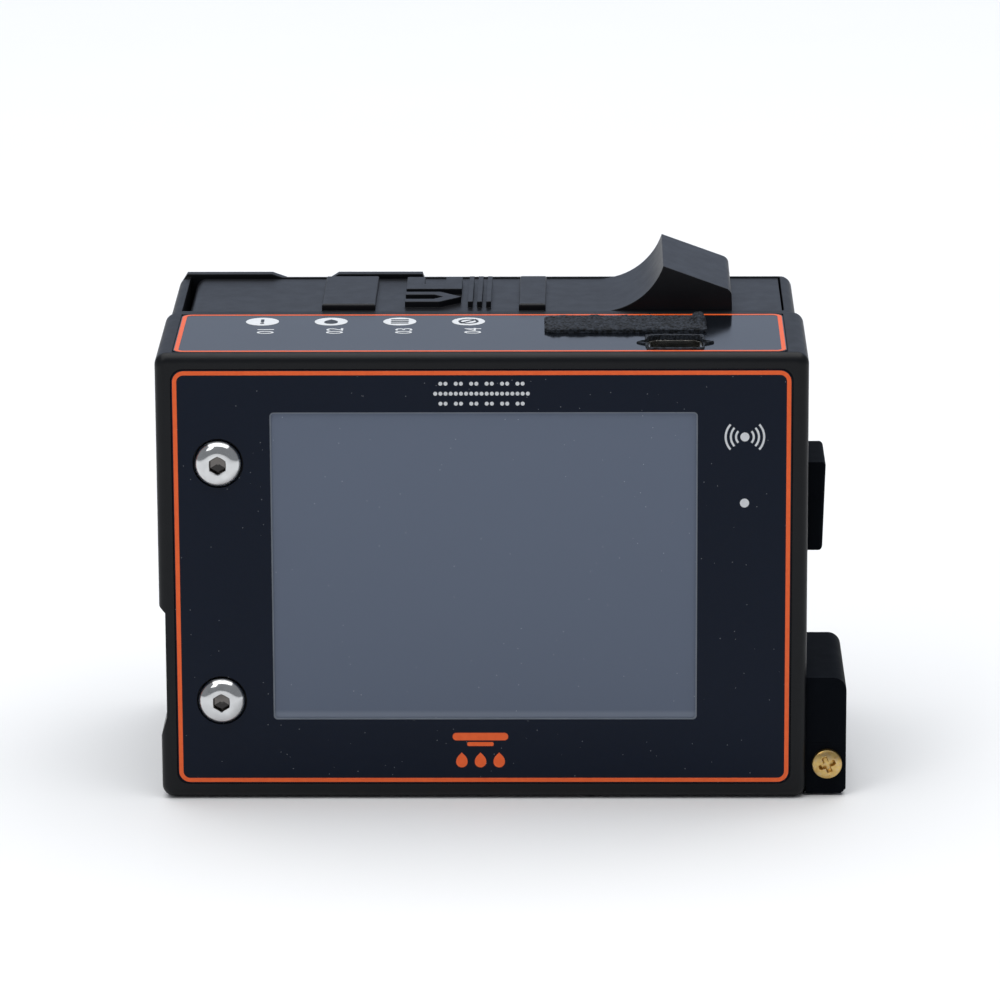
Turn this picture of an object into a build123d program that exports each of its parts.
"""Handheld date coder: a display half and a cartridge half, screwed together back to back.

Frame: X to the right, Y from the display towards the back, Z up, in millimetres.
The origin is the centre of the housing's bottom face, which is the printing side.
"""

import os

from build123d import *

os.makedirs("parts", exist_ok=True)

# ------------------------------------------------------------------ housing
body_width = 107.0
body_height = 76.0
front_depth = 29.0
rear_depth = 28.0
front_wall = 2.2
rear_side_wall = 2.0
rear_back_wall = 1.8
divider_wall = 1.4
floor_wall = 2.5
corner_radius = 2.0
front_edge_radius = 1.5
rear_edge_radius = 1.5
rear_inset_left = 0.7
rear_inset_right = 1.2

# ------------------------------------------------------------------ labels
label_thickness = 0.4
label_gap = 0.15
front_label_side_margin = 2.75
front_label_end_margin = 2.65
front_label_radius = 1.9
top_label_thickness = 0.3
top_label_left_margin = 3.0
top_label_right_margin = 3.6
top_label_front_margin = 1.6
top_label_rear_margin = 1.1
top_label_radius = 1.6

# ------------------------------------------------------------------ display
window_width = 70.1
window_height = 52.6
window_radius = 0.7
window_x = 0.3
window_z_offset = 1.9
touch_width = 74.0
touch_height = 58.0
touch_thickness = 1.4
touch_gap = 0.3
touch_chamfer = 0.5
gasket_width = 1.4
gasket_inset = 0.5
gasket_thickness = front_wall - label_thickness - touch_thickness
lcd_width = 75.0
lcd_height = 57.2
lcd_thickness = 2.6
bracket_thickness = 1.0
bracket_margin = 0.7
bracket_tab_width = 6.0
bracket_tab_overlap = 6.0
bracket_tab_gap = 0.3
bracket_screw_radius = 1.0
bracket_screw_head = 1.9
bracket_screw_head_height = 1.3
bracket_screw_length = 3.2
bracket_hex_across = 1.3
bracket_hex_depth = 0.8
bracket_post_radius = 2.1
bracket_post_gap = 0.1
bracket_post_reach = 30.0
bracket_post_top_reach = 11.0
display_cable_width = 24.0
display_cable_drop = 3.0
display_cable_inset = 1.2
display_cable_bend = 1.2

# ------------------------------------------------------------------ mounting screws
mount_screw_radius = 2.0
mount_waist_radius = 1.8
mount_hole_gap = 0.2
mount_head_radius = 3.95
mount_head_height = 2.2
mount_head_rim = 0.3
mount_head_flat = 1.7
mount_head_shoulder = (0.8, 0.64)
mount_seat_depth = 0.6
mount_head_gap = 0.2
mount_hex_across = 2.5
mount_hex_depth = 1.3
mount_inset = 10.2
mount_low_z = 17.0
mount_spacing = 40.6
mount_tube_radius = 4.0
mount_collar_radius = 5.2
mount_collar_depth = 4.0
stud_length = 8.0
stud_chamfer = 0.5

# ------------------------------------------------------------------ housing screws
case_screw_radius = 1.5
case_hole_gap = 0.2
case_head_radius = 2.75
case_head_height = 2.0
case_head_gap = 0.25
case_counterbore_depth = 2.6
case_boss_radius = 4.2
case_engagement = 10.0
case_driver_radius = 1.1
case_driver_depth = 1.2
case_boss_margin = 0.3
case_boss_tube_gap = 1.7
case_boss_low_lift = 5.0
case_boss_top_drop = 9.5

# ------------------------------------------------------------------ boards
board_thickness = 1.6
board_gap = 7.8
board_low_z = 5.0
board_top_drop = 6.4
board_side_gap = 1.7
board_screw_radius = 1.25
board_screw_head = 2.3
board_screw_head_height = 1.4
board_screw_length = 5.0
board_hex_across = 1.5
board_hex_depth = 0.9
board_boss_gap = 0.3
standoff_across = 4.5
standoff_side_inset = 3.5
standoff_low_inset = 5.0
standoff_top_inset = 10.2
ribbon_thickness = 0.3
chip_height = 1.4
chip_low_z = 14.0
chips = ((-8, 22, 14, 14), (8, 24, 10, 8), (8, 11, 10, 8), (-24, 20, 7, 7), (-8, 4, 9, 6))
front_chip_height = 1.2
front_chip_size = 8.0
front_chips = ((-6, 24), (16, 12))
capacitor_radius = 3.1
capacitor_height = 6.5
capacitors = ((-27, 33), (-19, 33), (30, 33), (30, 24))
battery_radius = 8.0
battery_thickness = 3.2
battery_place = (22.5, 8.0)
buzzer_radius = 4.8
buzzer_height = 5.0
buzzer_hole_radius = 1.0
buzzer_hole_depth = 2.0
buzzer_place = (-24.0, 30.0)

# ------------------------------------------------------------------ indicators
indicator_pitch = 11.45
indicator_count = 4
indicator_left_inset = 16.65
indicator_rear_gap = 6.3
pipe_radius = 2.2
pipe_gap = 0.1
pipe_length = 9.0
led_size = 3.0
led_height = 0.8
led_gap = 0.3
indicator_board_margin = 3.6
indicator_board_rear = 3.4
front_led_radius = 1.5
front_led_length = 4.6
front_led_inset = 7.7
front_led_z_drop = 25.2

# ------------------------------------------------------------------ top sockets
io_right_inset = 29.85
io_rear_gap = 9.75
io_shell_width = 24.8
io_shell_depth = 8.0
io_shell_wall = 0.4
io_shell_stand = 0.3
io_corner_radius = 1.5
io_opening_gap = 0.4
io_flange_width = 39.1
io_flange_depth = 12.5
io_flange_thickness = 0.8
io_flange_radius = 2.0
io_flange_drop = 4.8
io_insert_drop = 3.5
io_body_height = 10.0
io_body_width = 28.0
io_body_rear = 1.5
io_contact_pitch = 2.77
io_row_pitch = 2.84
io_contact_radius = 0.6
io_contact_depth = 4.0
io_cover_lip = 0.95
io_cover_thickness = 0.85
io_cover_radius = 1.2
io_cover_shell_gap = 0.2
io_cover_top_gap = 0.1
io_cover_plug_gap = 0.45
io_cover_plug_depth = 2.6
io_tab_radius = 2.0
io_tab_overhang = 0.7
usb_right_inset = 21.8
usb_front_inset = 7.6
usb_shell_width = 9.0
usb_shell_depth = 8.4
usb_shell_wall = 0.4
usb_shell_chamfer = 1.2
usb_drop = 0.5
usb_height = 6.6
usb_opening_gap = 0.2
usb_tongue_width = 5.6
usb_tongue_depth = 3.2
usb_tongue_height = 5.4
usb_tongue_radius = 0.4
usb_ear_reach = 6.05
usb_ear_half_depth = 1.15
usb_board_thickness = 1.4
usb_board_half_width = 6.2
usb_board_gap = 0.2

# ------------------------------------------------------------------ power inlet and switch
notch_depth = 1.05
notch_low_z = 10.5
notch_slope_z = 14.0
notch_high_z = 32.0
notch_lip = 1.0
jack_z = 26.6
jack_y_from_front = 15.5
jack_nose_radius = 3.9
jack_hole_gap = 0.1
jack_bore_radius = 2.8
jack_bore_depth = 9.0
jack_pin_radius = 1.0
jack_pin_inset = 0.8
jack_pin_round = 0.5
jack_sink = 0.1
jack_body_size = 9.0
jack_body_length = 11.6
switch_height = 15.0
switch_width = 14.0
switch_proud_top = 3.1
switch_proud_low = 2.6
switch_low_z = 41.1
switch_y_from_front = 13.0
switch_neck_inset = 0.9
switch_neck_gap = 0.1
switch_rim_radius = 0.7
switch_well_depth = 2.2
switch_body_length = 8.3
rocker_length = 10.2
rocker_width = 9.0
rocker_gap = 0.7
rocker_side_gap = 0.3
rocker_tilt = 8.0
rocker_pivot_inset = 0.9
rocker_pivot_radius = 0.8
rocker_bore_gap = 0.05
rocker_stub = 1.2
rocker_crown = 0.95
rocker_belly = 2.2
rocker_back = 0.4
rocker_end_slope = 0.3
rocker_round = 0.5
rocker_end_play = 0.1

# ------------------------------------------------------------------ product sensor
sensor_width = 6.7
sensor_depth = 27.0
sensor_front_inset = 2.0
sensor_top_z = 20.2
sensor_seam_z = 9.0
sensor_low_z = 0.2
sensor_wall = 1.2
sensor_corner_radius = 2.2
sensor_chamfer = 0.8
sensor_barrel_radius = 2.2
sensor_barrel_gap = 0.05
sensor_barrel_y = 10.5
sensor_module_size = (4.0, 9.0, 7.5)
sensor_module_gap = 0.5
sensor_barrel_shift = 0.2
sensor_cable_radius = 1.5
sensor_cable_drop = 5.0
lens_thickness = 0.8
lens_recess = 0.4
lens_round = 0.5
sensor_screw_z = 5.5
sensor_screw_radius = 1.25
sensor_screw_head = 2.5
sensor_screw_head_height = 1.5
sensor_screw_flat = 1.5
sensor_screw_shoulder = (0.85, 0.83)
sensor_screw_turn = 22.0
sensor_screw_tip_gap = 0.3
cross_slot_width = 0.75
cross_slot_length = 2.7
cross_slot_depth = 0.9

# ------------------------------------------------------------------ cartridge
cartridge_length = 79.0
cartridge_side_gap = 0.8
cartridge_tube_gap = 0.8
cartridge_corner_radius = 1.0
tank_low_z = 10.0
cap_height = 3.4
cap_gap = 0.6
cartridge_wall = 1.4
snout_length = 18.0
snout_depth = 12.0
snout_left_inset = 1.0
nozzle_gap = 0.8
nozzle_thickness = 0.4
nozzle_length = 9.0
nozzle_depth = 9.0
bag_gap = 1.4
bag_radius = 4.0
flex_thickness = 0.2
flex_low_z = 14.0
flex_high_z = 50.0
flex_width = 17.6

# ------------------------------------------------------------------ contacts
pin_radius = 0.35
pin_bore_gap = 0.05
pin_gap = 0.3
pin_reach = 1.2
pin_travel = 0.8
pin_rear_gap = 0.1
pin_rows = 8
pin_columns = 4
pin_row_pitch = 3.1
pin_column_pitch = 4.2
contact_block_depth = 6.3
contact_block_width = 17.6
contact_clear = 0.6
contact_rib_height = 2.0
contact_rib_inset = 2.5
contact_board_margin = 0.6
cable_width = 14.0
cable_lift = 2.7
cable_bend = 3.0
cable_board_overlap = 6.0
cable_end_overlap = 4.0
cable_slot_gap = 1.0

# ------------------------------------------------------------------ cover, hinge and catch
cover_drop = 0.2
cover_thickness = 1.8
cover_gap_left = 1.0
cover_gap_right = 0.35
cover_gap_side = 0.15
cover_edge_round = 0.4
knuckle_radius = 1.7
hinge_pin_radius = 1.0
hinge_bore_gap = 0.05
hinge_pin_seat = 0.9
pad_height = 1.2
pad_front_gap = 0.6
pad_rear_gap = 3.0
pad_ranges = ((22.5, 31.5), (55.6, 60.1))
emblem_height = 1.1
emblem_start = 36.4
emblem_length = 9.4
emblem_front_gap = 2.2
emblem_bar = 2.0
arrow_width = 7.2
arrow_notch = 1.6
block_start = 9.4
block_end = 18.2
block_notch_start = 3.0
block_notch_end = 6.6
block_notch_depth = 5.2
rib_start = 47.0
rib_pitch = 1.55
rib_width = 0.8
rib_count = 3
fin_start = 69.0
fin_peak = 79.85
fin_end = 91.3
fin_height = 7.8
fin_shoulder = 3.5
fin_round = 0.9
fin_round_drop = 0.44
fin_draft = 0.15
fin_wall = 1.6
fin_clear = 0.6
grip_root = 1.0
magnet_radius = 2.5
magnet_thickness = 2.0
magnet_ring = 1.0
magnet_proud = 0.3
magnet_inset = 3.6
keeper_gap = 0.1
keeper_thickness = 1.0
keeper_size = 6.0
ledge_thickness = 2.0
ledge_margin = 0.9

# ------------------------------------------------------------------ ejector and side spring
ejector_length = 16.0
ejector_width = 12.6
ejector_thickness = 1.4
ejector_right_inset = 6.0
ejector_gap = 0.1
ejector_corner_radius = 1.5
spring_wire = 0.35
spring_radius = 3.6
spring_pitch = 1.35
spring_end_gap = 0.05
leaf_thickness = 0.4
leaf_gap = 0.3
leaf_bow = 2.4
leaf_length = 28.0
leaf_low_z = 28.0
leaf_width = 10.0
leaf_rib_gap = 0.1
guide_rib_thickness = 1.2
guide_rib_top_z = 60.0

# ------------------------------------------------------------------ bottom guard and rating plate
guard_thickness = 0.6
guard_margin = 5.0
guard_side_margin = 3.4
guard_aperture_margin = 0.8
guard_screw_inset = 1.9
guard_screw_radius = 1.0
guard_screw_head = 1.6
guard_screw_length = 2.4
snout_opening_gap = 0.8
rating_width = 52.0
rating_height = 30.0
rating_thickness = 0.3
rating_gap = 0.15
rating_radius = 1.5
rim_height = 0.6
rim_root = 1.0
rim_ranges = ((1.4, 16.0, 1.0, 4.5), (27.4, 41.8, 2.5, 0.6))

# ------------------------------------------------------------------ places shared by several pieces
left = -body_width / 2
right = body_width / 2
y_front = -(front_depth + rear_depth) / 2
y_split = y_front + front_depth
y_back = y_split + rear_depth
front_inner = y_front + front_wall
top_inner = body_height - front_wall
rear_left = left + rear_inset_left
rear_right = right - rear_inset_right
bay_left = rear_left + rear_side_wall
bay_right = rear_right - rear_side_wall
bay_front = y_split + divider_wall
bay_back = y_back - rear_back_wall
bay_mid = (bay_front + bay_back) / 2
window_z = body_height / 2 + window_z_offset
front_label_width = body_width - 2 * front_label_side_margin
front_label_height = body_height - 2 * front_label_end_margin
top_label_left = left + top_label_left_margin
top_label_right = right - top_label_right_margin
top_label_front = y_front + top_label_front_margin
top_label_back = y_split - top_label_rear_margin

mount_hole_radius = mount_screw_radius + mount_hole_gap
mount_counterbore_radius = mount_head_radius + mount_head_gap
case_hole_radius = case_screw_radius + case_hole_gap
case_counterbore_radius = case_head_radius + case_head_gap
jack_hole_radius = jack_nose_radius + jack_hole_gap
rocker_bore_radius = rocker_pivot_radius + rocker_bore_gap
pin_bore_radius = pin_radius + pin_bore_gap
hinge_bore_radius = hinge_pin_radius + hinge_bore_gap

mount_x = left + mount_inset
mount_heights = (mount_low_z, mount_low_z + mount_spacing)
seat_y = y_front + mount_seat_depth

case_left_x = bay_left + case_boss_margin + case_boss_radius
case_right_x = bay_right - case_boss_margin - case_boss_radius
case_places = (
    (case_left_x, floor_wall + case_boss_margin + case_boss_radius),
    (case_left_x, mount_heights[1] + mount_tube_radius + case_boss_radius + case_boss_tube_gap),
    (case_right_x, floor_wall + case_boss_margin + case_boss_radius + case_boss_low_lift),
    (case_right_x, body_height - case_boss_top_drop),
)

touch_back = y_front + label_thickness + touch_thickness
lcd_back = front_inner + lcd_thickness
bracket_back = lcd_back + bracket_thickness
board_front = bracket_back + board_gap
board_back = board_front + board_thickness
board_left = mount_x + mount_tube_radius + board_side_gap
board_right = case_right_x - case_boss_radius - board_boss_gap
board_top = body_height - board_top_drop
plate_left = window_x - lcd_width / 2 + bracket_margin
plate_right = window_x + lcd_width / 2 - bracket_margin
plate_low_z = window_z - lcd_height / 2 + bracket_margin
plate_top_z = window_z + lcd_height / 2 - bracket_margin
bracket_post_offset = touch_height / 2 + touch_gap + bracket_post_radius + bracket_post_gap
bracket_places = (
    (window_x - bracket_post_reach, window_z - bracket_post_offset),
    (window_x + bracket_post_reach, window_z - bracket_post_offset),
    (window_x - bracket_post_reach, window_z + bracket_post_offset),
    (window_x + bracket_post_top_reach, window_z + bracket_post_offset),
)
standoff_places = tuple(
    (x, z)
    for x in (plate_left + standoff_side_inset, plate_right - standoff_side_inset)
    for z in (plate_low_z + standoff_low_inset, plate_top_z - standoff_top_inset)
)

indicator_y = y_split - indicator_rear_gap
indicator_xs = tuple(left + indicator_left_inset + indicator_pitch * i for i in range(indicator_count))
pipe_top = body_height - top_label_thickness
led_top = pipe_top - pipe_length - led_gap
led_board_top = led_top - led_height
front_led_x = front_label_width / 2 - front_led_inset
front_led_z = body_height - front_led_z_drop

io_x = right - io_right_inset
io_y = y_split - io_rear_gap
io_flange_top = body_height - io_flange_drop
io_insert_top = body_height - io_insert_drop
io_cover_width = io_shell_width + 2 * io_cover_lip
plug_low_z = body_height - io_cover_plug_depth
usb_x = right - usb_right_inset
usb_y = y_front + usb_front_inset
usb_top = body_height - usb_drop
usb_floor = usb_top - usb_height

jack_y = y_front + jack_y_from_front
jack_face = left + notch_depth + jack_sink
switch_y = y_front + switch_y_from_front
switch_z = switch_low_z + switch_height / 2
rocker_x = right - rocker_pivot_inset
sensor_front = y_front + sensor_front_inset
sensor_back = sensor_front + sensor_depth
sensor_right = right + sensor_width
sensor_x = (right + sensor_right) / 2 + sensor_barrel_shift
sensor_y = sensor_front + sensor_barrel_y

cover_top = body_height - cover_drop
cover_under = cover_top - cover_thickness
cover_left = bay_left + cover_gap_left
cover_right = bay_right - cover_gap_right
cover_front = bay_front + cover_gap_side
cover_back = bay_back - cover_gap_side
hinge_x = cover_left + knuckle_radius
hinge_z = cover_top - knuckle_radius

cartridge_left = mount_x + mount_tube_radius + cartridge_tube_gap
cartridge_right = cartridge_left + cartridge_length
cartridge_front = bay_front + cartridge_side_gap
cartridge_back = bay_back - cartridge_side_gap
cap_top = cover_under - cap_gap
tank_top = cap_top - cap_height
snout_left = cartridge_left + snout_left_inset
snout_right = snout_left + snout_length
snout_front = bay_mid - snout_depth / 2
snout_back = bay_mid + snout_depth / 2
snout_low_z = nozzle_gap + nozzle_thickness
nozzle_mid_x = (snout_left + snout_right) / 2
guard_left = snout_left - guard_margin
guard_right = snout_right + guard_margin
guard_front = snout_front - guard_side_margin
guard_back = snout_back + guard_side_margin
guard_screw_places = tuple(
    (x, y)
    for x in (guard_left + guard_screw_inset, guard_right - guard_screw_inset)
    for y in (guard_front + guard_screw_inset, guard_back - guard_screw_inset)
)

contact_face = cartridge_left - flex_thickness - pin_gap - pin_reach
contact_block_back = contact_face - contact_block_depth
contact_board_back = contact_block_back - board_thickness
contact_low_z = mount_heights[0] + mount_tube_radius + contact_clear
contact_high_z = mount_heights[1] - mount_tube_radius - contact_clear
contact_mid_z = (contact_low_z + contact_high_z) / 2
cable_z = contact_mid_z + cable_lift

guide_rib_x = cartridge_right + leaf_gap + leaf_bow + leaf_thickness + leaf_rib_gap
leaf_x = cartridge_right + leaf_gap + leaf_thickness / 2
leaf_mid_z = leaf_low_z + leaf_length / 2
magnet_x = cover_right - magnet_inset
keeper_top = cover_under - magnet_thickness - keeper_gap
ejector_x = cartridge_right - ejector_right_inset - ejector_length / 2
ejector_top = tank_low_z - ejector_gap
ejector_under = ejector_top - ejector_thickness

TURN_TO = {"x": (0, 90, 0), "y": (-90, 0, 0), "z": (0, 0, 0)}
FROM_START = (Align.CENTER, Align.CENTER, Align.MIN)


def block(x0, x1, y0, y1, z0, z1, mode=Mode.ADD):
    """Add or cut a box given by its lowest and highest corners."""
    with Locations(((x0 + x1) / 2, (y0 + y1) / 2, (z0 + z1) / 2)):
        Box(x1 - x0, y1 - y0, z1 - z0, mode=mode)


def rod(radius, start, length, along, mode=Mode.ADD):
    """Add or cut a round bar that begins at start and runs length along +X, +Y or +Z."""
    with Locations(Location(start, TURN_TO[along])):
        Cylinder(radius, length, align=FROM_START, mode=mode)


def hexagon(across, start, length, mode=Mode.ADD):
    """Add or cut a hexagonal bar of the given width across flats, running along +Y."""
    with BuildPart(mode=Mode.PRIVATE) as bar:
        with BuildSketch(Plane.XZ):
            RegularPolygon(across / 2, 6, major_radius=False)
        extrude(amount=-length)
    with Locations(start):
        add(bar.part, mode=mode)


def front_view(y):
    """The plane at depth y, drawn as seen from the front: extruding grows towards the front."""
    return Plane.XZ.offset(-y)


def seen_from_above(origin):
    """The level plane through a point, for half a screw head's profile: local X outwards, local Y back."""
    return Plane(origin=origin, x_dir=(1, 0, 0), z_dir=(0, 0, 1))


def finish(part, name):
    """Label a finished piece and write it as its own STEP file."""
    part.label = name
    export_step(part, f"parts/{name}.step")


def fin_outline(inset, base_z):
    """Side view of the fin: concave ramp, peak and long slope, drawn in by inset down to base_z."""
    start = cover_left + fin_start
    peak = (cover_left + fin_peak, cover_top + fin_height)
    shoulder = (cover_left + fin_end - fin_round, cover_top + fin_shoulder + fin_round_drop)
    side = (cover_left + fin_end, cover_top + fin_shoulder - fin_round)
    low = base_z - inset
    skirt_x = side[0] + fin_draft
    with BuildSketch(Plane.XZ) as outline:
        with BuildLine():
            TangentArc((start, cover_top), peak, tangent=(1, 0))
            Line(peak, shoulder)
            TangentArc(shoulder, side, tangent=(shoulder[0] - peak[0], shoulder[1] - peak[1]))
            Polyline(side, (skirt_x, low), (start, low), (start, cover_top))
        make_face()
        if inset:
            offset(amount=-inset, kind=Kind.INTERSECTION)
    return outline.sketch


def socket_openings(z):
    """Outline at height z of the two socket openings: a long one, and a square one with two ears."""
    with BuildSketch(Plane.XY.offset(z)) as openings:
        with Locations((io_x, io_y)):
            RectangleRounded(
                io_shell_width + 2 * io_opening_gap, io_shell_depth + 2 * io_opening_gap, io_corner_radius
            )
        with Locations((usb_x, usb_y)):
            Rectangle(usb_shell_width + 2 * usb_opening_gap, usb_shell_depth + 2 * usb_opening_gap)
            Polygon(
                (-usb_ear_reach, 0), (0, -2 * usb_ear_half_depth), (usb_ear_reach, 0),
                (0, 2 * usb_ear_half_depth), align=None,
            )
    return openings.sketch


def io_insert_outline(z, inset=0.0):
    """Outline at height z of the long connector's insulator, drawn in by inset."""
    wide = io_shell_width - 2 * io_shell_wall - 2 * inset
    deep = io_shell_depth - 2 * io_shell_wall - 2 * inset
    with BuildSketch(Plane.XY.offset(z)) as outline:
        with Locations((io_x, io_y)):
            RectangleRounded(wide, deep, io_corner_radius - io_shell_wall - inset)
    return outline.sketch


# ------------------------------------------------------------------ display half of the housing
with BuildPart() as front_housing:
    block(left, right, y_front, y_split, 0, body_height)
    fillet(front_housing.edges().filter_by(Axis.Y), corner_radius)
    fillet(front_housing.faces().sort_by(Axis.Y)[0].edges(), front_edge_radius)
    block(left + front_wall, right - front_wall, front_inner, y_split, front_wall, top_inner, Mode.SUBTRACT)
    for z in mount_heights:
        rod(mount_tube_radius, (mount_x, y_front + label_thickness, z), front_depth - label_thickness, "y")
        rod(mount_collar_radius, (mount_x, y_front + label_thickness, z), mount_collar_depth, "y")
    for x, z in case_places:
        rod(case_boss_radius, (x, front_inner, z), y_split - front_inner, "y")
    for x, z in bracket_places:
        rod(bracket_post_radius, (x, front_inner, z), lcd_thickness, "y")
    # recess for the front label, and the opening that the touch panel fills
    with BuildSketch(front_view(y_front + label_thickness)):
        with Locations((0, body_height / 2)):
            RectangleRounded(
                front_label_width + 2 * label_gap,
                front_label_height + 2 * label_gap,
                front_label_radius + label_gap,
            )
    extrude(amount=label_thickness, mode=Mode.SUBTRACT)
    with BuildSketch(front_view(front_inner)):
        with Locations((window_x, window_z)):
            Rectangle(touch_width + 2 * touch_gap, touch_height + 2 * touch_gap)
    extrude(amount=front_wall, mode=Mode.SUBTRACT)
    # recess for the top label
    block(
        top_label_left - label_gap, top_label_right + label_gap, top_label_front - label_gap,
        top_label_back + label_gap, body_height - top_label_thickness, body_height, Mode.SUBTRACT,
    )
    for z in mount_heights:
        rod(mount_counterbore_radius, (mount_x, y_front, z), mount_seat_depth, "y", Mode.SUBTRACT)
        rod(mount_hole_radius, (mount_x, y_front, z), front_depth, "y", Mode.SUBTRACT)
    for x, z in case_places:
        rod(case_screw_radius, (x, y_split - case_engagement, z), case_engagement, "y", Mode.SUBTRACT)
    for x, z in bracket_places:
        start = (x, lcd_back - bracket_screw_length, z)
        rod(bracket_screw_radius, start, bracket_screw_length, "y", Mode.SUBTRACT)
    for x in indicator_xs:
        rod(pipe_radius + pipe_gap, (x, indicator_y, top_inner), front_wall, "z", Mode.SUBTRACT)
    extrude(to_extrude=socket_openings(top_inner), amount=front_wall, mode=Mode.SUBTRACT)
    # front indicator lamp
    rod(front_led_radius + pipe_gap, (front_led_x, y_front, front_led_z), front_wall, "y", Mode.SUBTRACT)
    # shallow notch down the left wall, with a sloping floor, and the power inlet's hole
    with BuildSketch(front_view(y_split)):
        Polygon(
            (left - notch_lip, notch_low_z), (left, notch_low_z), (left + notch_depth, notch_slope_z),
            (left + notch_depth, notch_high_z), (left, notch_high_z + notch_depth),
            (left - notch_lip, notch_high_z + notch_depth), align=None,
        )
    extrude(amount=front_depth, mode=Mode.SUBTRACT)
    rod(jack_hole_radius, (left, jack_y, jack_z), front_wall, "x", Mode.SUBTRACT)
    # power switch opening and the sensor cable hole in the right wall
    block(
        right - front_wall, right,
        switch_y - switch_width / 2 + switch_neck_inset - switch_neck_gap,
        switch_y + switch_width / 2 - switch_neck_inset + switch_neck_gap,
        switch_low_z + switch_neck_inset - switch_neck_gap,
        switch_low_z + switch_height - switch_neck_inset + switch_neck_gap,
        Mode.SUBTRACT,
    )
    cable_hole = (right - front_wall, sensor_y, sensor_top_z - sensor_cable_drop)
    rod(sensor_cable_radius, cable_hole, front_wall, "x", Mode.SUBTRACT)
finish(front_housing.part, "front_housing")

# ------------------------------------------------------------------ cartridge half of the housing
with BuildPart() as rear_housing:
    block(rear_left, rear_right, y_split, y_back, 0, body_height)
    fillet(rear_housing.edges().filter_by(Axis.Y), corner_radius)
    fillet(rear_housing.faces().sort_by(Axis.Y)[-1].edges(), rear_edge_radius)
    # rims that stand up along the back wall, each with two sloping ends
    with BuildSketch(front_view(y_back)):
        for rim_start, rim_end, rim_lead, rim_slope in rim_ranges:
            Polygon(
                (rear_left + rim_start - rim_lead, body_height - rim_root),
                (rear_left + rim_start, body_height + rim_height),
                (rear_left + rim_end, body_height + rim_height),
                (rear_left + rim_end + rim_slope, body_height - rim_root), align=None,
            )
    extrude(amount=rear_back_wall)
    block(bay_left, bay_right, bay_front, bay_back, floor_wall, body_height, Mode.SUBTRACT)
    for z in mount_heights:
        rod(mount_tube_radius, (mount_x, bay_front, z), bay_back - bay_front, "y")
    for x, z in case_places:
        rod(case_boss_radius, (x, bay_front, z), bay_back - bay_front, "y")
    for z in (contact_low_z + contact_rib_inset, contact_high_z - contact_rib_inset - contact_rib_height):
        block(bay_left, contact_board_back, bay_front, bay_back, z, z + contact_rib_height)
    block(
        guide_rib_x, guide_rib_x + guide_rib_thickness, bay_front, bay_back, floor_wall, guide_rib_top_z
    )
    ledge_top = keeper_top - keeper_thickness
    ledge_left = magnet_x - keeper_size / 2 - ledge_margin
    block(ledge_left, bay_right, bay_front, bay_back, ledge_top - ledge_thickness, ledge_top)
    for z in mount_heights:
        rod(mount_hole_radius, (mount_x, y_split, z), rear_depth, "y", Mode.SUBTRACT)
    for x, z in case_places:
        rod(case_hole_radius, (x, y_split, z), rear_depth, "y", Mode.SUBTRACT)
        start = (x, y_back - case_counterbore_depth, z)
        rod(case_counterbore_radius, start, case_counterbore_depth, "y", Mode.SUBTRACT)
    # hinge pin seats, blind from inside the bay
    rod(
        hinge_pin_radius, (hinge_x, bay_front - hinge_pin_seat, hinge_z),
        bay_back - bay_front + 2 * hinge_pin_seat, "y", Mode.SUBTRACT,
    )
    # slot for the contact cable through the divider wall
    slot_half = cable_width / 2 + cable_slot_gap
    block(
        contact_board_back - ribbon_thickness - cable_slot_gap, contact_board_back + cable_slot_gap,
        y_split, bay_front, cable_z - slot_half, cable_z + slot_half, Mode.SUBTRACT,
    )
    # snout opening, the guard plate's recess and its screw holes
    block(
        snout_left - snout_opening_gap, snout_right + snout_opening_gap,
        snout_front - snout_opening_gap, snout_back + snout_opening_gap, 0, floor_wall, Mode.SUBTRACT,
    )
    block(
        guard_left - label_gap, guard_right + label_gap, guard_front - label_gap, guard_back + label_gap,
        0, guard_thickness, Mode.SUBTRACT,
    )
    for x, y in guard_screw_places:
        rod(guard_screw_radius, (x, y, 0), guard_screw_length, "z", Mode.SUBTRACT)
    # shallow pocket for the rating plate on the back
    block(
        -rating_width / 2 - rating_gap, rating_width / 2 + rating_gap, y_back - rating_thickness, y_back,
        body_height / 2 - rating_height / 2 - rating_gap, body_height / 2 + rating_height / 2 + rating_gap,
        Mode.SUBTRACT,
    )
finish(rear_housing.part, "rear_housing")

# ------------------------------------------------------------------ labels
with BuildPart() as front_label:
    with BuildSketch(front_view(y_front + label_thickness)):
        with Locations((0, body_height / 2)):
            RectangleRounded(front_label_width, front_label_height, front_label_radius)
        with Locations((window_x, window_z)):
            RectangleRounded(window_width, window_height, window_radius, mode=Mode.SUBTRACT)
        for z in mount_heights:
            with Locations((mount_x, z)):
                Circle(mount_counterbore_radius, mode=Mode.SUBTRACT)
    extrude(amount=label_thickness)
finish(front_label.part, "front_label")

with BuildPart() as top_label:
    wide = top_label_right - top_label_left
    deep = top_label_back - top_label_front
    with BuildSketch(Plane.XY.offset(body_height - top_label_thickness)):
        with Locations((top_label_left + wide / 2, top_label_front + deep / 2)):
            RectangleRounded(wide, deep, top_label_radius)
    extrude(amount=top_label_thickness)
    openings = socket_openings(body_height - top_label_thickness)
    extrude(to_extrude=openings, amount=top_label_thickness, mode=Mode.SUBTRACT)
finish(top_label.part, "top_label")

with BuildPart() as rating_plate:
    with BuildSketch(front_view(y_back)):
        with Locations((0, body_height / 2)):
            RectangleRounded(rating_width, rating_height, rating_radius)
    extrude(amount=rating_thickness)
finish(rating_plate.part, "rating_plate")

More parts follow.
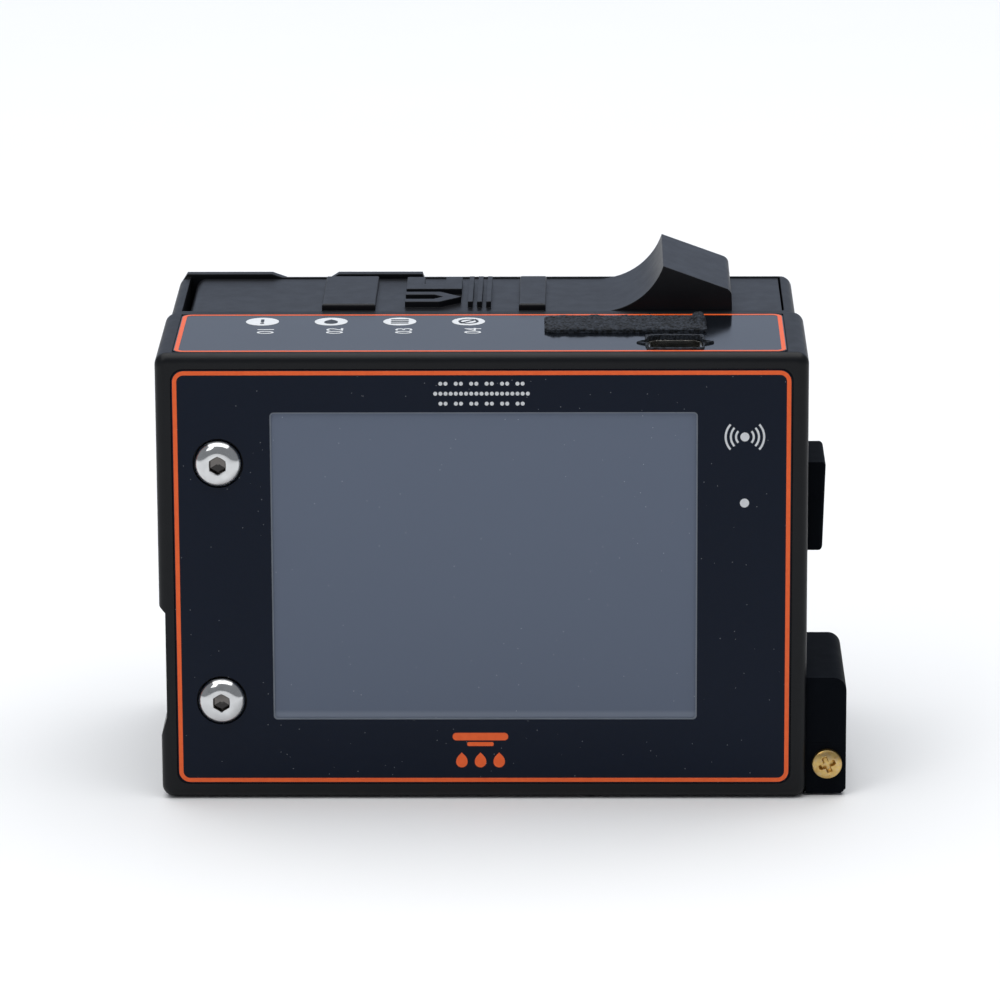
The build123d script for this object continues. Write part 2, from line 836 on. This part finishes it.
# ------------------------------------------------------------------ display stack
with BuildPart() as touch_panel:
    block(
        window_x - touch_width / 2, window_x + touch_width / 2, y_front + label_thickness, touch_back,
        window_z - touch_height / 2, window_z + touch_height / 2,
    )
    chamfer(touch_panel.edges().filter_by(Axis.Y), touch_chamfer)
finish(touch_panel.part, "touch_panel")

with BuildPart() as display_gasket:
    with BuildSketch(front_view(front_inner)):
        with Locations((window_x, window_z)):
            gasket_height = touch_height - 2 * gasket_inset
            Rectangle(touch_width, gasket_height)
            Rectangle(touch_width - 2 * gasket_width, gasket_height - 2 * gasket_width, mode=Mode.SUBTRACT)
    extrude(amount=gasket_thickness)
finish(display_gasket.part, "display_gasket")

with BuildPart() as lcd_panel:
    block(
        window_x - lcd_width / 2, window_x + lcd_width / 2, front_inner, lcd_back,
        window_z - lcd_height / 2, window_z + lcd_height / 2,
    )
finish(lcd_panel.part, "lcd_panel")

with BuildPart() as lcd_bracket:
    block(plate_left, plate_right, lcd_back, bracket_back, plate_low_z, plate_top_z)
    for x, z in bracket_places:
        if z < window_z:
            tab_ends = (z - bracket_post_radius, z + bracket_tab_overlap)
        else:
            tab_ends = (z - bracket_tab_overlap, top_inner - bracket_tab_gap)
        block(x - bracket_tab_width / 2, x + bracket_tab_width / 2, lcd_back, bracket_back, *tab_ends)
    for x, z in bracket_places:
        rod(bracket_screw_radius, (x, lcd_back, z), bracket_thickness, "y", Mode.SUBTRACT)
finish(lcd_bracket.part, "lcd_bracket")

with BuildPart() as bracket_screws:
    for x, z in bracket_places:
        start = (x, lcd_back - bracket_screw_length, z)
        rod(bracket_screw_radius, start, bracket_screw_length + bracket_thickness, "y")
        rod(bracket_screw_head, (x, bracket_back, z), bracket_screw_head_height, "y")
        socket = (x, bracket_back + bracket_screw_head_height - bracket_hex_depth, z)
        hexagon(bracket_hex_across, socket, bracket_hex_depth, Mode.SUBTRACT)
finish(bracket_screws.part, "bracket_screws")

with BuildPart() as display_cable:
    lcd_low = window_z - lcd_height / 2
    cable_front = lcd_back - display_cable_inset
    cable_back = board_front - ribbon_thickness / 2
    with BuildSketch(Plane.YZ.offset(window_x - display_cable_width / 2)):
        with BuildLine():
            FilletPolyline(
                (cable_front, lcd_low), (cable_front, lcd_low - display_cable_drop),
                (cable_back, lcd_low - display_cable_drop), (cable_back, lcd_low + display_cable_drop),
                radius=display_cable_bend,
            )
        trace(line_width=ribbon_thickness)
    extrude(amount=display_cable_width)
finish(display_cable.part, "display_cable")

# ------------------------------------------------------------------ main board
with BuildPart() as main_board:
    block(board_left, board_right, board_front, board_back, board_low_z, board_top)
    for x, z in standoff_places:
        rod(board_screw_radius, (x, board_front, z), board_thickness, "y", Mode.SUBTRACT)
finish(main_board.part, "main_board")

with BuildPart() as board_standoffs:
    for x, z in standoff_places:
        hexagon(standoff_across, (x, bracket_back, z), board_gap)
        rod(board_screw_radius, (x, bracket_back, z), board_gap, "y", Mode.SUBTRACT)
finish(board_standoffs.part, "board_standoffs")

with BuildPart() as board_screws:
    for x, z in standoff_places:
        rod(board_screw_radius, (x, board_back - board_screw_length, z), board_screw_length, "y")
        rod(board_screw_head, (x, board_back, z), board_screw_head_height, "y")
        socket = (x, board_back + board_screw_head_height - board_hex_depth, z)
        hexagon(board_hex_across, socket, board_hex_depth, Mode.SUBTRACT)
finish(board_screws.part, "board_screws")

with BuildPart() as board_chips:
    for x, z, wide, tall in chips:
        with Locations((x, board_back + chip_height / 2, chip_low_z + z)):
            Box(wide, chip_height, tall)
    for x, z in front_chips:
        with Locations((x, board_front - front_chip_height / 2, chip_low_z + z)):
            Box(front_chip_size, front_chip_height, front_chip_size)
finish(board_chips.part, "board_chips")

with BuildPart() as board_capacitors:
    for x, z in capacitors:
        rod(capacitor_radius, (x, board_back, chip_low_z + z), capacitor_height, "y")
finish(board_capacitors.part, "board_capacitors")

with BuildPart() as clock_battery:
    x, z = battery_place
    rod(battery_radius, (x, board_back, chip_low_z + z), battery_thickness, "y")
finish(clock_battery.part, "clock_battery")

with BuildPart() as buzzer:
    x, z = buzzer_place
    start = (x, board_front - buzzer_height, chip_low_z + z)
    rod(buzzer_radius, start, buzzer_height, "y")
    rod(buzzer_hole_radius, start, buzzer_hole_depth, "y", Mode.SUBTRACT)
finish(buzzer.part, "buzzer")

# ------------------------------------------------------------------ indicators
with BuildPart() as light_pipes:
    for x in indicator_xs:
        rod(pipe_radius, (x, indicator_y, pipe_top - pipe_length), pipe_length, "z")
finish(light_pipes.part, "light_pipes")

with BuildPart() as status_leds:
    for x in indicator_xs:
        half = led_size / 2
        block(x - half, x + half, indicator_y - half, indicator_y + half, led_board_top, led_top)
finish(status_leds.part, "status_leds")

with BuildPart() as indicator_board:
    block(
        indicator_xs[0] - indicator_board_margin, indicator_xs[-1] + indicator_board_margin, board_back,
        indicator_y + indicator_board_rear, led_board_top - board_thickness, led_board_top,
    )
finish(indicator_board.part, "indicator_board")

with BuildPart() as front_lamp:
    rod(front_led_radius, (front_led_x, y_front + label_thickness, front_led_z), front_led_length, "y")
finish(front_lamp.part, "front_lamp")

# ------------------------------------------------------------------ sockets in the top
with BuildPart() as io_connector_shell:
    with BuildSketch(Plane.XY.offset(io_flange_top - io_flange_thickness)):
        with Locations((io_x, io_y)):
            RectangleRounded(io_flange_width, io_flange_depth, io_flange_radius)
    extrude(amount=io_flange_thickness)
    with BuildSketch(Plane.XY.offset(io_flange_top)):
        with Locations((io_x, io_y)):
            RectangleRounded(io_shell_width, io_shell_depth, io_corner_radius)
    extrude(amount=body_height + io_shell_stand - io_flange_top)
    insert_low = io_flange_top - io_flange_thickness
    extrude(to_extrude=io_insert_outline(insert_low), amount=2 * io_flange_drop, mode=Mode.SUBTRACT)
finish(io_connector_shell.part, "io_connector_shell")

with BuildPart() as io_connector_body:
    io_body_back = io_y + io_shell_depth / 2 + io_body_rear
    block(
        io_x - io_body_width / 2, io_x + io_body_width / 2, board_back, io_body_back,
        io_flange_top - io_flange_thickness - io_body_height, io_flange_top - io_flange_thickness,
    )
    extrude(to_extrude=io_insert_outline(insert_low), amount=io_insert_top - insert_low)
    for row, count in ((0.5, 8), (-0.5, 7)):
        for i in range(count):
            x = io_x + (i - (count - 1) / 2) * io_contact_pitch
            start = (x, io_y + row * io_row_pitch, io_insert_top - io_contact_depth)
            rod(io_contact_radius, start, io_contact_depth, "z", Mode.SUBTRACT)
finish(io_connector_body.part, "io_connector_body")

with BuildPart() as io_port_cover:
    with BuildSketch(Plane.XY.offset(body_height)):
        with Locations((io_x, io_y)):
            RectangleRounded(io_cover_width, io_shell_depth + 2 * io_cover_lip, io_cover_radius)
    extrude(amount=io_cover_thickness)
    # the connector's rim stands in a recess under the slab, round the plug
    wide = io_shell_width + 2 * io_cover_shell_gap
    deep = io_shell_depth + 2 * io_cover_shell_gap
    with BuildSketch(Plane.XY.offset(body_height)):
        with Locations((io_x, io_y)):
            RectangleRounded(wide, deep, io_corner_radius)
    extrude(amount=io_shell_stand + io_cover_top_gap, mode=Mode.SUBTRACT)
    extrude(
        to_extrude=io_insert_outline(plug_low_z, io_cover_plug_gap),
        amount=body_height + io_cover_thickness - plug_low_z,
    )
    # half-round pull tab at the right end
    tab_x = io_x + io_cover_width / 2 - io_tab_radius + io_tab_overhang
    with Locations((tab_x, io_y, body_height + io_shell_stand + io_cover_top_gap)):
        Sphere(io_tab_radius, arc_size1=0, align=FROM_START)
finish(io_port_cover.part, "io_port_cover")

with BuildPart() as usb_shell:
    with BuildSketch(Plane.XY.offset(usb_floor)):
        with Locations((usb_x, usb_y)):
            Rectangle(usb_shell_width, usb_shell_depth)
    extrude(amount=usb_height)
    chamfer(usb_shell.edges().filter_by(Axis.Z).sort_by(Axis.Y)[-2:], usb_shell_chamfer)
    offset(amount=-usb_shell_wall, openings=usb_shell.faces().sort_by(Axis.Z)[-1])
finish(usb_shell.part, "usb_shell")

with BuildPart() as usb_tongue:
    tongue_floor = usb_floor + usb_shell_wall
    block(
        usb_x - usb_tongue_width / 2, usb_x + usb_tongue_width / 2, usb_y - usb_tongue_depth / 2,
        usb_y + usb_tongue_depth / 2, tongue_floor, tongue_floor + usb_tongue_height,
    )
    fillet(usb_tongue.edges().filter_by(Axis.Z), usb_tongue_radius)
finish(usb_tongue.part, "usb_tongue")

with BuildPart() as usb_board:
    block(
        usb_x - usb_board_half_width, usb_x + usb_board_half_width, bracket_back + usb_board_gap, board_front,
        usb_floor - usb_board_thickness, usb_floor,
    )
finish(usb_board.part, "usb_board")

# ------------------------------------------------------------------ power inlet and switch
with BuildPart() as dc_jack:
    jack_inner = left + front_wall
    rod(jack_nose_radius, (jack_face, jack_y, jack_z), jack_inner - jack_face, "x")
    block(
        jack_inner, jack_inner + jack_body_length, jack_y - jack_body_size / 2, jack_y + jack_body_size / 2,
        jack_z - jack_body_size / 2, jack_z + jack_body_size / 2,
    )
    rod(jack_bore_radius, (jack_face, jack_y, jack_z), jack_bore_depth, "x", Mode.SUBTRACT)
finish(dc_jack.part, "dc_jack")

with BuildPart() as dc_jack_pin:
    pin_start = (jack_face + jack_pin_inset, jack_y, jack_z)
    rod(jack_pin_radius, pin_start, jack_bore_depth - jack_pin_inset, "x")
    fillet(dc_jack_pin.faces().sort_by(Axis.X)[0].edges(), jack_pin_round)
finish(dc_jack_pin.part, "dc_jack_pin")

with BuildPart() as power_switch_body:
    switch_high_z = switch_low_z + switch_height
    switch_front = switch_y - switch_width / 2
    switch_back = switch_y + switch_width / 2
    with BuildSketch(front_view(switch_back)):
        with BuildLine():
            Polyline(
                (right, switch_low_z), (right + switch_proud_low, switch_low_z),
                (right + switch_proud_top, switch_high_z), (right, switch_high_z), close=True,
            )
        make_face()
    extrude(amount=switch_width)
    switch_rim = power_switch_body.faces().sort_by(Axis.X)[-1].edges()
    fillet(switch_rim, switch_rim_radius)
    block(
        right - front_wall - switch_body_length, right, switch_front + switch_neck_inset,
        switch_back - switch_neck_inset, switch_low_z + switch_neck_inset, switch_high_z - switch_neck_inset,
    )
    block(
        right - front_wall - switch_well_depth, right + switch_proud_top,
        switch_y - rocker_width / 2 - rocker_side_gap, switch_y + rocker_width / 2 + rocker_side_gap,
        switch_z - rocker_length / 2 - rocker_gap, switch_z + rocker_length / 2 + rocker_gap, Mode.SUBTRACT,
    )
    stub_reach = rocker_width / 2 + rocker_stub + rocker_end_play
    rod(rocker_bore_radius, (rocker_x, switch_y - stub_reach, switch_z), 2 * stub_reach, "y", Mode.SUBTRACT)
finish(power_switch_body.part, "power_switch_body")

with BuildPart() as power_rocker:
    half = rocker_length / 2
    with BuildSketch(front_view(switch_y).shift_origin((rocker_x, switch_y, switch_z))) as rocker_side:
        with BuildLine():
            Polyline(
                (-rocker_back, half - rocker_end_slope), (rocker_crown * 2, half), (rocker_crown, 0),
                (rocker_crown * 2, -half), (-rocker_back, -half + rocker_end_slope),
            )
            ThreePointArc(
                (-rocker_back, -half + rocker_end_slope), (-rocker_belly, 0),
                (-rocker_back, half - rocker_end_slope),
            )
        make_face()
        fillet(rocker_side.vertices().sort_by(Axis.X)[-2:], rocker_round)
    extrude(amount=rocker_width / 2, both=True)
    rod(
        rocker_pivot_radius, (rocker_x, switch_y - rocker_width / 2 - rocker_stub, switch_z),
        rocker_width + 2 * rocker_stub, "y",
    )
rocker_axis = Axis((rocker_x, switch_y, switch_z), (0, 1, 0))
finish(power_rocker.part.rotate(rocker_axis, rocker_tilt), "power_rocker")

# ------------------------------------------------------------------ fasteners of the housing
with BuildPart() as mounting_screws:
    for z in mount_heights:
        with BuildSketch(seen_from_above((mount_x, seat_y, z))):
            with BuildLine():
                Line((0, 0), (mount_head_radius, 0))
                Line((mount_head_radius, 0), (mount_head_radius, -mount_head_rim))
                ThreePointArc(
                    (mount_head_radius, -mount_head_rim),
                    (mount_head_radius * mount_head_shoulder[0], -mount_head_height * mount_head_shoulder[1]),
                    (mount_head_flat, -mount_head_height),
                )
                Line((mount_head_flat, -mount_head_height), (0, -mount_head_height))
                Line((0, -mount_head_height), (0, 0))
            make_face()
        revolve(axis=Axis((mount_x, seat_y, z), (0, 1, 0)))
        rod(mount_waist_radius, (mount_x, seat_y, z), y_back - seat_y, "y")
        rod(mount_screw_radius, (mount_x, y_back, z), stud_length, "y")
        hexagon(mount_hex_across, (mount_x, seat_y - mount_head_height, z), mount_hex_depth, Mode.SUBTRACT)
    chamfer(mounting_screws.faces().filter_by(Axis.Y).group_by(Axis.Y)[-1].edges(), stud_chamfer)
finish(mounting_screws.part, "mounting_screws")

with BuildPart() as housing_screws:
    for x, z in case_places:
        seat = y_back - case_counterbore_depth
        rod(case_screw_radius, (x, y_split - case_engagement, z), seat - y_split + case_engagement, "y")
        rod(case_head_radius, (x, seat, z), case_head_height, "y")
        socket = (x, seat + case_head_height - case_driver_depth, z)
        hexagon(2 * case_driver_radius, socket, case_driver_depth, Mode.SUBTRACT)
finish(housing_screws.part, "housing_screws")

# ------------------------------------------------------------------ product sensor on the right wall
with BuildPart() as sensor_housing:
    block(right, sensor_right, sensor_front, sensor_back, sensor_seam_z, sensor_top_z)
    top_corner = sensor_housing.edges().filter_by(Axis.Y).sort_by(Axis.X)[-2:].sort_by(Axis.Z)[-1]
    fillet(top_corner, sensor_corner_radius)
    block(
        right, sensor_right - sensor_wall, sensor_front + sensor_wall, sensor_back - sensor_wall,
        sensor_seam_z + sensor_wall, sensor_top_z - sensor_wall, Mode.SUBTRACT,
    )
    bore_radius = sensor_barrel_radius + sensor_barrel_gap
    rod(bore_radius, (sensor_x, sensor_y, sensor_seam_z), sensor_wall, "z", Mode.SUBTRACT)
finish(sensor_housing.part, "sensor_housing")

with BuildPart() as sensor_clamp:
    block(right, sensor_right, sensor_front, sensor_back, sensor_low_z, sensor_seam_z)
    low_corner = sensor_clamp.edges().filter_by(Axis.Y).sort_by(Axis.X)[-2:].sort_by(Axis.Z)[0]
    chamfer(low_corner, sensor_chamfer)
    rod(bore_radius, (sensor_x, sensor_y, sensor_low_z), sensor_seam_z, "z", Mode.SUBTRACT)
    screw_reach = sensor_y - bore_radius - sensor_front
    rod(sensor_screw_radius, (sensor_x, sensor_front, sensor_screw_z), screw_reach, "y", Mode.SUBTRACT)
finish(sensor_clamp.part, "sensor_clamp")

with BuildPart() as sensor_screw:
    with BuildSketch(seen_from_above((sensor_x, sensor_front, sensor_screw_z))):
        with BuildLine():
            Line((0, 0), (sensor_screw_head, 0))
            Line((sensor_screw_head, 0), (sensor_screw_head, -0.5 * sensor_screw_head_height))
            ThreePointArc(
                (sensor_screw_head, -0.5 * sensor_screw_head_height),
                (
                    sensor_screw_head * sensor_screw_shoulder[0],
                    -sensor_screw_head_height * sensor_screw_shoulder[1],
                ),
                (sensor_screw_flat, -sensor_screw_head_height),
            )
            Line((sensor_screw_flat, -sensor_screw_head_height), (0, -sensor_screw_head_height))
            Line((0, -sensor_screw_head_height), (0, 0))
        make_face()
    revolve(axis=Axis((sensor_x, sensor_front, sensor_screw_z), (0, 1, 0)))
    rod(
        sensor_screw_radius, (sensor_x, sensor_front, sensor_screw_z),
        screw_reach - sensor_screw_tip_gap, "y",
    )
    slot_floor = sensor_front - sensor_screw_head_height + cross_slot_depth
    with BuildSketch(front_view(slot_floor)):
        with Locations(Location((sensor_x, sensor_screw_z), sensor_screw_turn)):
            Rectangle(cross_slot_length, cross_slot_width)
            Rectangle(cross_slot_width, cross_slot_length)
    extrude(amount=cross_slot_depth, mode=Mode.SUBTRACT)
finish(sensor_screw.part, "sensor_screw")

with BuildPart() as photo_sensor:
    wide, deep, tall = sensor_module_size
    module_low = sensor_seam_z + sensor_wall
    with Locations((right + sensor_module_gap + wide / 2, sensor_y, module_low + tall / 2)):
        Box(wide, deep, tall)
    barrel_low = sensor_low_z + lens_thickness + lens_recess
    rod(sensor_barrel_radius, (sensor_x, sensor_y, barrel_low), module_low - barrel_low, "z")
finish(photo_sensor.part, "photo_sensor")

with BuildPart() as sensor_lens:
    rod(sensor_barrel_radius, (sensor_x, sensor_y, barrel_low - lens_thickness), lens_thickness, "z")
    fillet(sensor_lens.faces().sort_by(Axis.Z)[0].edges(), lens_round)
finish(sensor_lens.part, "sensor_lens")

# ------------------------------------------------------------------ cartridge cover and its hinge
with BuildPart() as cartridge_cover:
    block(hinge_x, cover_right, cover_front, cover_back, cover_under, cover_top)
    rod(knuckle_radius, (hinge_x, cover_front, hinge_z), cover_back - cover_front, "y")
    for pad_start, pad_end in pad_ranges:
        block(
            cover_left + pad_start, cover_left + pad_end, cover_front + pad_front_gap,
            cover_back - pad_rear_gap, cover_top, cover_top + pad_height,
        )
    fillet(cartridge_cover.faces().filter_by(Axis.Z).group_by(Axis.Z)[-1].edges(), cover_edge_round)
    # raised arrow with a notched block behind it
    emblem_x = cover_left + emblem_start
    emblem_y = cover_front + pad_front_gap + emblem_front_gap
    arrow_mid = arrow_width / 2
    inner_neck = emblem_length - arrow_mid - (emblem_bar - arrow_notch) - 0.6
    with BuildSketch(Plane.XY.offset(cover_top)):
        with Locations((emblem_x, emblem_y)):
            Polygon(
                (0, 0), (emblem_length - arrow_mid, 0), (emblem_length, arrow_mid),
                (emblem_length - arrow_mid, arrow_width), (0, arrow_width), (0, arrow_width - emblem_bar),
                (inner_neck, arrow_width - emblem_bar), (inner_neck + arrow_notch, arrow_mid),
                (inner_neck, emblem_bar), (0, emblem_bar), align=None,
            )
            Polygon(
                (0, block_start), (emblem_length, block_start), (emblem_length, block_end),
                (block_notch_end, block_end), (block_notch_end, block_end - block_notch_depth),
                (block_notch_start, block_end - block_notch_depth), (block_notch_start, block_end),
                (0, block_end), align=None,
            )
    extrude(amount=emblem_height)
    for i in range(rib_count):
        rib_x = cover_left + rib_start + i * rib_pitch
        rib_back = cover_back - pad_rear_gap
        block(rib_x, rib_x + rib_width, emblem_y, rib_back, cover_top, cover_top + emblem_height)
    # hollow thumb fin along the right of the cover
    fin = fin_outline(0, cover_under).moved(Location((0, cover_back, 0)))
    extrude(to_extrude=fin, amount=cover_back - cover_front)
    pocket = fin_outline(fin_wall, cover_under - 3).moved(Location((0, cover_back - fin_wall, 0)))
    extrude(to_extrude=pocket, amount=cover_back - cover_front - 2 * fin_wall, mode=Mode.SUBTRACT)
    # ring that holds the catch magnet
    ring_low = (magnet_x, bay_mid, cover_under - magnet_thickness + magnet_proud)
    rod(magnet_radius + magnet_ring, ring_low, magnet_thickness - magnet_proud, "z")
    rod(magnet_radius, ring_low, magnet_thickness - magnet_proud, "z", Mode.SUBTRACT)
    rod(hinge_bore_radius, (hinge_x, cover_front, hinge_z), cover_back - cover_front, "y", Mode.SUBTRACT)
finish(cartridge_cover.part, "cartridge_cover")

with BuildPart() as cover_magnet:
    rod(magnet_radius, (magnet_x, bay_mid, cover_under - magnet_thickness), magnet_thickness, "z")
finish(cover_magnet.part, "cover_magnet")

with BuildPart() as keeper_plate:
    block(
        magnet_x - keeper_size / 2, magnet_x + keeper_size / 2, bay_mid - keeper_size, bay_mid + keeper_size,
        keeper_top - keeper_thickness, keeper_top,
    )
finish(keeper_plate.part, "keeper_plate")

with BuildPart() as cover_hinge_pin:
    rod(
        hinge_pin_radius, (hinge_x, bay_front - hinge_pin_seat, hinge_z),
        bay_back - bay_front + 2 * hinge_pin_seat, "y",
    )
finish(cover_hinge_pin.part, "cover_hinge_pin")

# ------------------------------------------------------------------ cartridge
with BuildPart() as cartridge_body:
    block(cartridge_left, cartridge_right, cartridge_front, cartridge_back, tank_low_z, tank_top)
    fillet(cartridge_body.edges().filter_by(Axis.Z), cartridge_corner_radius)
    block(
        cartridge_left + cartridge_wall, cartridge_right - cartridge_wall, cartridge_front + cartridge_wall,
        cartridge_back - cartridge_wall, tank_low_z + cartridge_wall, tank_top, Mode.SUBTRACT,
    )
    block(snout_left, snout_right, snout_front, snout_back, snout_low_z, tank_low_z)
finish(cartridge_body.part, "cartridge_body")

with BuildPart() as cartridge_cap:
    block(cartridge_left, cartridge_right, cartridge_front, cartridge_back, tank_top, cap_top)
    fillet(cartridge_cap.edges().filter_by(Axis.Z), cartridge_corner_radius)
    grip_back = cover_back - fin_wall - fin_clear
    grip_depth = cover_back - cover_front - 2 * (fin_wall + fin_clear)
    grip = fin_outline(fin_wall + fin_clear, tank_top + grip_root).moved(Location((0, grip_back, 0)))
    extrude(to_extrude=grip, amount=grip_depth)
finish(cartridge_cap.part, "cartridge_cap")

with BuildPart() as ink_bag:
    gap = cartridge_wall + bag_gap
    block(
        cartridge_left + gap, cartridge_right - gap, cartridge_front + gap, cartridge_back - gap,
        tank_low_z + cartridge_wall, tank_top - bag_gap,
    )
    fillet(ink_bag.edges(), bag_radius)
finish(ink_bag.part, "ink_bag")

with BuildPart() as nozzle_plate:
    block(
        nozzle_mid_x - nozzle_length / 2, nozzle_mid_x + nozzle_length / 2, bay_mid - nozzle_depth / 2,
        bay_mid + nozzle_depth / 2, nozzle_gap, snout_low_z,
    )
finish(nozzle_plate.part, "nozzle_plate")

with BuildPart() as cartridge_contacts:
    block(
        cartridge_left - flex_thickness, cartridge_left, bay_mid - flex_width / 2, bay_mid + flex_width / 2,
        flex_low_z, flex_high_z,
    )
finish(cartridge_contacts.part, "cartridge_contacts")

# ------------------------------------------------------------------ contact block
pin_places = [
    (bay_mid + (column - (pin_columns - 1) / 2) * pin_column_pitch,
     contact_mid_z + (row - (pin_rows - 1) / 2) * pin_row_pitch)
    for column in range(pin_columns)
    for row in range(pin_rows)
]
with BuildPart() as contact_block:
    half = contact_block_width / 2
    block(contact_block_back, contact_face, bay_mid - half, bay_mid + half, contact_low_z, contact_high_z)
    for y, z in pin_places:
        rod(pin_bore_radius, (contact_block_back, y, z), contact_block_depth, "x", Mode.SUBTRACT)
finish(contact_block.part, "contact_block")

with BuildPart() as contact_pins:
    pin_length = pin_reach + contact_block_depth - pin_travel - pin_rear_gap
    for y, z in pin_places:
        rod(pin_radius, (contact_face + pin_reach - pin_length, y, z), pin_length, "x")
finish(contact_pins.part, "contact_pins")

with BuildPart() as contact_board:
    half = contact_block_width / 2 + contact_board_margin
    block(
        contact_board_back, contact_block_back, bay_mid - half, bay_mid + half, contact_low_z, contact_high_z
    )
finish(contact_board.part, "contact_board")

with BuildPart() as contact_cable:
    cable_x = contact_board_back - ribbon_thickness / 2
    cable_end_y = board_back + ribbon_thickness / 2
    with BuildSketch(Plane.XY.offset(cable_z - cable_width / 2)):
        with BuildLine():
            FilletPolyline(
                (cable_x, bay_mid + cable_board_overlap), (cable_x, cable_end_y),
                (board_left + cable_end_overlap, cable_end_y), radius=cable_bend,
            )
        trace(line_width=ribbon_thickness)
    extrude(amount=cable_width)
finish(contact_cable.part, "contact_cable")

# ------------------------------------------------------------------ ejector and side spring
with BuildPart() as ejector_plate:
    block(
        ejector_x - ejector_length / 2, ejector_x + ejector_length / 2, bay_mid - ejector_width / 2,
        bay_mid + ejector_width / 2, ejector_under, ejector_top,
    )
    fillet(ejector_plate.edges().filter_by(Axis.Z), ejector_corner_radius)
finish(ejector_plate.part, "ejector_plate")

with BuildPart() as ejector_spring:
    coil_low = floor_wall + spring_wire + spring_end_gap
    coil_height = ejector_under - spring_end_gap - spring_wire - coil_low
    with BuildLine() as coil:
        Helix(spring_pitch, coil_height, spring_radius, center=(ejector_x, bay_mid, coil_low))
    with BuildSketch(Plane(coil.line @ 0, z_dir=coil.line % 0)):
        Circle(spring_wire)
    sweep(is_frenet=True)
finish(ejector_spring.part, "ejector_spring")

with BuildPart() as side_spring:
    with BuildSketch(front_view(bay_mid + leaf_width / 2)):
        with BuildLine():
            ThreePointArc(
                (leaf_x + leaf_bow, leaf_low_z), (leaf_x, leaf_mid_z),
                (leaf_x + leaf_bow, leaf_low_z + leaf_length),
            )
        trace(line_width=leaf_thickness)
    extrude(amount=leaf_width)
finish(side_spring.part, "side_spring")

# ------------------------------------------------------------------ guard plate round the nozzle
with BuildPart() as nozzle_guard:
    block(guard_left, guard_right, guard_front, guard_back, 0, guard_thickness)
    margin = guard_aperture_margin
    block(
        nozzle_mid_x - nozzle_length / 2 - margin, nozzle_mid_x + nozzle_length / 2 + margin,
        bay_mid - nozzle_depth / 2 - margin, bay_mid + nozzle_depth / 2 + margin,
        0, guard_thickness, Mode.SUBTRACT,
    )
    for x, y in guard_screw_places:
        with Locations((x, y, guard_thickness / 2)):
            Cone(guard_screw_head, guard_screw_radius, guard_thickness, mode=Mode.SUBTRACT)
finish(nozzle_guard.part, "nozzle_guard")

with BuildPart() as guard_screws:
    for x, y in guard_screw_places:
        with Locations((x, y, guard_thickness / 2)):
            Cone(guard_screw_head, guard_screw_radius, guard_thickness)
        rod(guard_screw_radius, (x, y, guard_thickness), guard_screw_length - guard_thickness, "z")
finish(guard_screws.part, "guard_screws")
